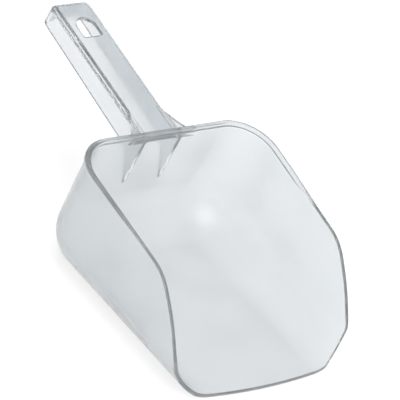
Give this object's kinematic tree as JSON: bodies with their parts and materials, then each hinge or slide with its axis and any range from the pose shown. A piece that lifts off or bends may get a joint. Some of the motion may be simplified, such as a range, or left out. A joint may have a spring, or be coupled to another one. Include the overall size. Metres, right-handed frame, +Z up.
{
  "type": "feed scoop",
  "caption": "Clear moulded hand scoop: open flat-floored bowl with a bowed lip and cut corners, beaded rim and a channel handle with a hang hole.",
  "frame": {"origin": "on the underside of the floor, in the middle plane, 90 mm in front of the outside of the back rim", "axes": "+Z up, +Y along the handle away from the bowl, so the mouth faces -Y, +X to the right seen from the mouth's back"},
  "size_m": [0.1516, 0.2716, 0.0974],
  "materials": {
    "clear_plastic": "gloss"
  },
  "bodies": {
    "root": {"bowl_floor": "clear_plastic", "bowl_side_left": "clear_plastic", "bowl_side_right": "clear_plastic", "bowl_back": "clear_plastic", "rim_bead": "clear_plastic", "handle_top": "clear_plastic", "handle_side_left": "clear_plastic", "handle_side_right": "clear_plastic", "handle_end": "clear_plastic", "gusset_left": "clear_plastic", "gusset_right": "clear_plastic", "root_flare_left": "clear_plastic", "root_flare_right": "clear_plastic"}
  },
  "joints": []
}
